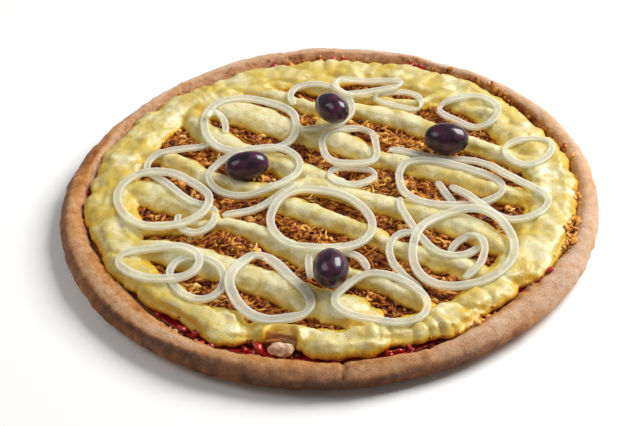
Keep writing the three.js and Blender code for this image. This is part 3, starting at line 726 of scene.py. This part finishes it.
def make_shreds(material, cheese, bed):
    """Shreds of chicken, heaped wherever the cheese leaves it bare."""
    draw = random.Random(SHREDS["seed"])
    above, below = surface_of(cheese), surface_of(bed)
    templates = [shred_template(draw) for _ in range(SHREDS["templates"])]
    form = bmesh.new()
    made = 0
    for _ in range(SHREDS["tries"]):
        if made >= SHREDS["most"]:
            break
        radius, turn = SHREDS["reach"] * math.sqrt(draw.random()), draw.uniform(0, 2 * math.pi)
        x, y = radius * math.cos(turn), radius * math.sin(turn)
        landed = drop(below, x, y)
        if drop(above, x, y) or not landed:
            continue
        ranges = SLIM if draw.random() < SHREDS["slim"] else FLAKE
        length, width, thick = (draw.uniform(low, high) for low, high in ranges)
        lift = draw.uniform(-0.1, 1.3)
        # The paler shreds lie in clusters
        pale = max(0.0, wavy(Vector((x, y, 0.0)), 6.5, 4) - 0.1) * 3.0
        placed = (
            Matrix.Translation(Vector((x, y, min(landed[0], SHREDS["level"]) + lift)) * MM)
            @ Matrix.Rotation(draw.uniform(0, math.pi), 4, "Z")
            @ Matrix.Rotation(draw.gauss(0, 0.22), 4, "Y")
            @ Matrix.Rotation(draw.gauss(0, 0.5), 4, "X")
            @ Matrix.Diagonal((length * MM, width * MM, thick * MM, 1))
        )
        template = draw.choice(templates)
        shade = 0.08 + draw.random() ** 2 * 0.42 + pale * draw.random()
        add_copy(form, template, placed, shade)
        made += 1
    return finished(to_object(form, "pulled_chicken"), material, "chicken")


def make_chunk(material):
    """The lump of chicken at the front, with knobs and hollows."""
    chunk = to_object(copied("chicken_chunk"), "chicken_lump")
    applied(chunk, ("SUBSURF", {"levels": 2, "render_levels": 2}))
    raised(chunk, lambda place, normal: 1.3 * wavy(place, 5.0) + 0.45 * wavy(place, 1.9, 4) - 0.1)
    return finished(chunk, material, "chicken", "chicken_chunk")


# Bits that can be told apart in the groove along the rim: [x, y, length], in mm
BITS = {
    "tomato": [
        (-28.5, 131.0, 5.5), (-22.0, 132.0, 3.0), (9.0, 134.0, 3.5), (15.0, 133.5, 4.5),
        (57.0, 121.5, 5.0), (62.0, 120.0, 5.5), (67.0, 117.0, 4.0), (115.0, 70.5, 5.0),
        (118.0, 64.0, 5.0), (133.0, 26.5, 5.0), (-136.0, 14.0, 4.0), (-136.0, 8.0, 3.5),
        (-77.2, -104.0, 6.5), (-71.0, -108.4, 5.0), (-65.5, -111.5, 7.5), (-59.7, -115.0, 4.5),
        (-39.2, -123.4, 8.0), (-45.5, -121.8, 4.5), (19.2, -130.4, 4.0), (25.0, -130.5, 5.0),
        (30.4, -128.6, 4.5), (36.1, -128.4, 4.0), (97.5, -89.4, 5.0), (107.5, -76.0, 4.5),
        (-30.5, -126.5, 2.2), (-2.0, -131.0, 3.5), (5.0, -131.2, 3.5),
    ],
    "chicken": [
        (-21.0, -127.5, 3.0), (-19.0, -125.5, 3.0), (-23.0, -129.0, 2.0), (47.0, -124.0, 5.0),
        (52.0, -122.5, 4.0), (69.0, -114.5, 5.0), (73.0, -111.5, 4.0), (77.0, -108.5, 4.5),
        (81.0, -105.0, 3.5),
    ],
}
BIT_TONE = 0.45
BIT_SEEDS = {"tomato": 6, "chicken": 7}
BIT_TEMPLATES = 10
# Crumbs strewn along the groove: [degrees, half width in degrees, count, nearest and farthest off the
# groove in mm, smallest and largest in mm, tone from 0, dark, to 1, pale]
CRUMBS = {
    "tomato": [
        (64, 3, 5, 0.0, 2.0, 1.5, 3.0, 0.5), (30, 3, 4, 0.0, 2.0, 1.5, 3.0, 0.5),
        (236, 6, 8, 0.0, 2.5, 1.5, 3.5, 0.5), (281, 6, 8, 0.0, 1.5, 1.5, 3.0, 0.5),
        (321, 3, 5, 0.0, 1.5, 1.5, 3.0, 0.5),
    ],
    "chicken": [
        (339, 5, 90, -2.0, 3.5, 1.4, 4.4, 0.48), (351, 6, 18, -1.0, 3.0, 1.2, 3.0, 0.55),
        (303, 4, 12, -0.5, 1.5, 1.5, 3.5, 0.6), (287, 7, 8, -0.5, 1.5, 1.2, 3.0, 0.5),
        (246, 8, 9, -0.5, 1.5, 1.2, 3.0, 0.5), (128, 4, 9, -0.5, 1.5, 1.5, 3.5, 0.5),
        (17, 8, 12, 0.0, 3.0, 2.0, 4.6, 0.22), (38, 10, 20, 0.5, 3.5, 2.5, 5.2, 0.16),
        (58, 7, 9, 0.5, 3.0, 2.0, 4.6, 0.2), (92, 10, 11, 0.0, 2.5, 2.0, 4.2, 0.2),
    ],
}


def lump_template(draw):
    """An uneven lump, one unit each way, of 80 faces."""
    form = bmesh.new()
    bmesh.ops.create_icosphere(form, subdivisions=2, radius=0.5)
    seed = draw.uniform(0, 50)
    for corner in form.verts:
        corner.co *= 1 + 0.7 * wavy(corner.co, 0.5, seed) + 0.35 * wavy(corner.co, 0.22, seed)
    mesh = bpy.data.meshes.new("lump")
    form.to_mesh(mesh)
    form.free()
    mesh.attributes.new("shade", "FLOAT", "POINT")
    return mesh


def groove_radius(crust, cheese, degrees):
    """The radius in mm at which the cheese gives way to the rim, found from the crest inwards."""
    radius = CREST + 2
    while radius > RIM_FOOT - 8:
        x, y = radius * math.cos(math.radians(degrees)), radius * math.sin(math.radians(degrees))
        on_cheese, on_crust = drop(cheese, x, y), drop(crust, x, y)
        if on_cheese and (not on_crust or on_cheese[0] > on_crust[0]):
            break
        radius -= 0.5
    return radius


def bits_of(kind, draw, crust, cheese):
    """Place in mm, length and tone of each bit and crumb of one kind."""
    found = []
    for x, y, length in BITS[kind]:
        radius, place = math.hypot(x, y), math.atan2(y, x)
        radius = max(radius, groove_radius(crust, cheese, math.degrees(place)) + 0.3 * length)
        found.append((radius * math.cos(place), radius * math.sin(place), length, BIT_TONE))
    for middle, width, count, start, end, small, large, tone in CRUMBS[kind]:
        for _ in range(count):
            degrees = draw.gauss(middle, width * 0.7)
            radius = groove_radius(crust, cheese, degrees) + draw.uniform(start, end)
            place = math.radians(degrees)
            length = small + (large - small) * draw.random() ** 2
            found.append((radius * math.cos(place), radius * math.sin(place), length, tone))
    return found


def make_bits(kind, material, slot, crust, cheese, rest):
    """All the bits of one kind, each sunk a little into what it lies on."""
    draw = random.Random(BIT_SEEDS[kind])
    templates = [lump_template(draw) for _ in range(BIT_TEMPLATES)]
    form = bmesh.new()
    for x, y, length, tone in bits_of(kind, draw, crust, cheese):
        height, normal = drop(rest, x, y)
        flat = draw.uniform(0.45, 0.75)
        turn, tilt, narrow = draw.uniform(0, math.pi), draw.gauss(0, 0.35), draw.uniform(0.4, 0.9)
        placed = (
            Matrix.Translation(Vector((x, y, height + 0.2 * length)) * MM)
            @ normal.to_track_quat("Z", "Y").to_matrix().to_4x4()
            @ Matrix.Rotation(turn, 4, "Z")
            @ Matrix.Rotation(tilt, 4, "Y")
            @ Matrix.Diagonal((length * MM, length * MM * narrow, length * MM * flat, 1))
        )
        add_copy(form, draw.choice(templates), placed, tone + draw.uniform(-0.2, 0.2))
    return finished(to_object(form, kind + "_bits"), material, slot)


# Edges across an onion strip are between these two lengths in mm, and edges along it are longer
ACROSS = (3.2, 5.8)
GROOVE_DEPTH = 0.25


def make_onion(name, material):
    """A ribbon of onion with raised edges and a shallow groove between them."""
    form = copied(name)
    edge_layer = form.verts.layers.float.new("edge")
    for corner in form.verts:
        corner[edge_layer] = 1.0
    form.normal_update()
    across = [edge for edge in form.edges if ACROSS[0] < edge.calc_length() / MM < ACROSS[1]]
    new = bmesh.ops.subdivide_edges(form, edges=across, cuts=2, use_grid_fill=True)["geom_inner"]
    form.normal_update()
    for corner in new:
        if isinstance(corner, bmesh.types.BMVert):
            corner[edge_layer] = 0.0
            if corner.normal.z > 0.3:
                corner.co.z -= GROOVE_DEPTH * MM
    # The long edges of the slice stay rather sharp
    crease = form.edges.layers.float.new("crease_edge")
    for edge in form.edges:
        along = edge.calc_length() / MM > ACROSS[1]
        if along and all(corner[edge_layer] == 1.0 for corner in edge.verts):
            edge[crease] = 0.75
    onion = to_object(form, name + "_slice")
    applied(onion, ("SUBSURF", {"levels": 2, "render_levels": 2}))
    raised(onion, lambda place, normal: 0.1 * wavy(place, 2.5))
    return finished(onion, material, "onion", name)


# Where the stem was, on the olives that show it: the place in mm
STEMS = {"olive_1": (9.4, 44.4, 33.1), "olive_4": (-0.9, -95.4, 28.5)}
# A place too far off to dent an olive, for those that don't show it
NO_STEM = (0, 0, -100)


def make_olive(name, material):
    """An olive, a little uneven, with the ringed dent of its stem where that shows."""
    olive = to_object(copied(name), name + "_skin")
    applied(olive, ("SUBSURF", {"levels": 3, "render_levels": 3}))
    stem = Vector(STEMS.get(name, NO_STEM))

    def height(place, normal):
        away = (place - stem).length
        dimple = 0.35 * math.exp(-(((away - 2.4) / 0.9) ** 2)) - 1.3 * math.exp(-((away / 1.4) ** 2))
        return dimple + 0.3 * wavy(place, 7) + 0.05 * wavy(place, 2)

    raised(olive, height)
    return finished(olive, material, "olive", name)


# Studio


def add_floor():
    """A plain pale floor, just under the pizza."""
    form = bmesh.new()
    bmesh.ops.create_grid(form, x_segments=2, y_segments=2, size=3.0)
    floor = to_object(form, "floor")
    floor.location.z = -0.2 * MM
    material, tree, _ = new_material("pale_floor")
    shader = put(tree, "BsdfPrincipled", {"Base Color": "#f6f5f3", "Roughness": 0.8})
    put(tree, "OutputMaterial", {"Surface": shader})
    floor.data.materials.append(material)


def add_light(name, place, size, watts):
    """A square soft light, its place and size in mm, aimed at the middle of the pizza."""
    data = bpy.data.lights.new(name, "AREA")
    data.size, data.energy = size * MM, watts
    light = bpy.data.objects.new(name, data)
    light.location = Vector(place) * MM
    direction = -Vector(place).normalized()
    light.rotation_euler = direction.to_track_quat("-Z", "Y").to_euler()
    bpy.context.scene.collection.objects.link(light)


def add_studio():
    """The floor, a large window light from the back right, and a weak fill from the left."""
    add_floor()
    add_light("window", (940, 420, 980), 870, 30)
    add_light("left_fill", (-650, -100, 750), 500, 2.0)
    world = bpy.data.worlds.new("studio")
    world.use_nodes = True
    background = world.node_tree.nodes["Background"]
    background.inputs["Color"].default_value = linear("#ffffff")
    background.inputs["Strength"].default_value = 0.2
    bpy.context.scene.world = world
    bpy.context.scene.view_settings.view_transform = "Standard"


add_camera()
cheese = make_cheese(cream_cheese())
crust = make_crust(baked_dough())
red = tomato()
sauce = make_sauce(red)
meat = roast_chicken()
bed = make_chicken_bed(meat)
make_shreds(meat, cheese, bed)
make_chunk(boiled_chicken())
trees = surface_of(crust), surface_of(cheese), surface_of(crust, cheese, sauce)
make_bits("tomato", red, "sauce", *trees)
make_bits("chicken", meat, "chicken", *trees)
onion_skin = raw_onion()
for onion_name in ONIONS:
    make_onion(onion_name, onion_skin)
olive_skin = cured_olive()
for olive_name in OLIVES:
    make_olive(olive_name, olive_skin)
add_studio()
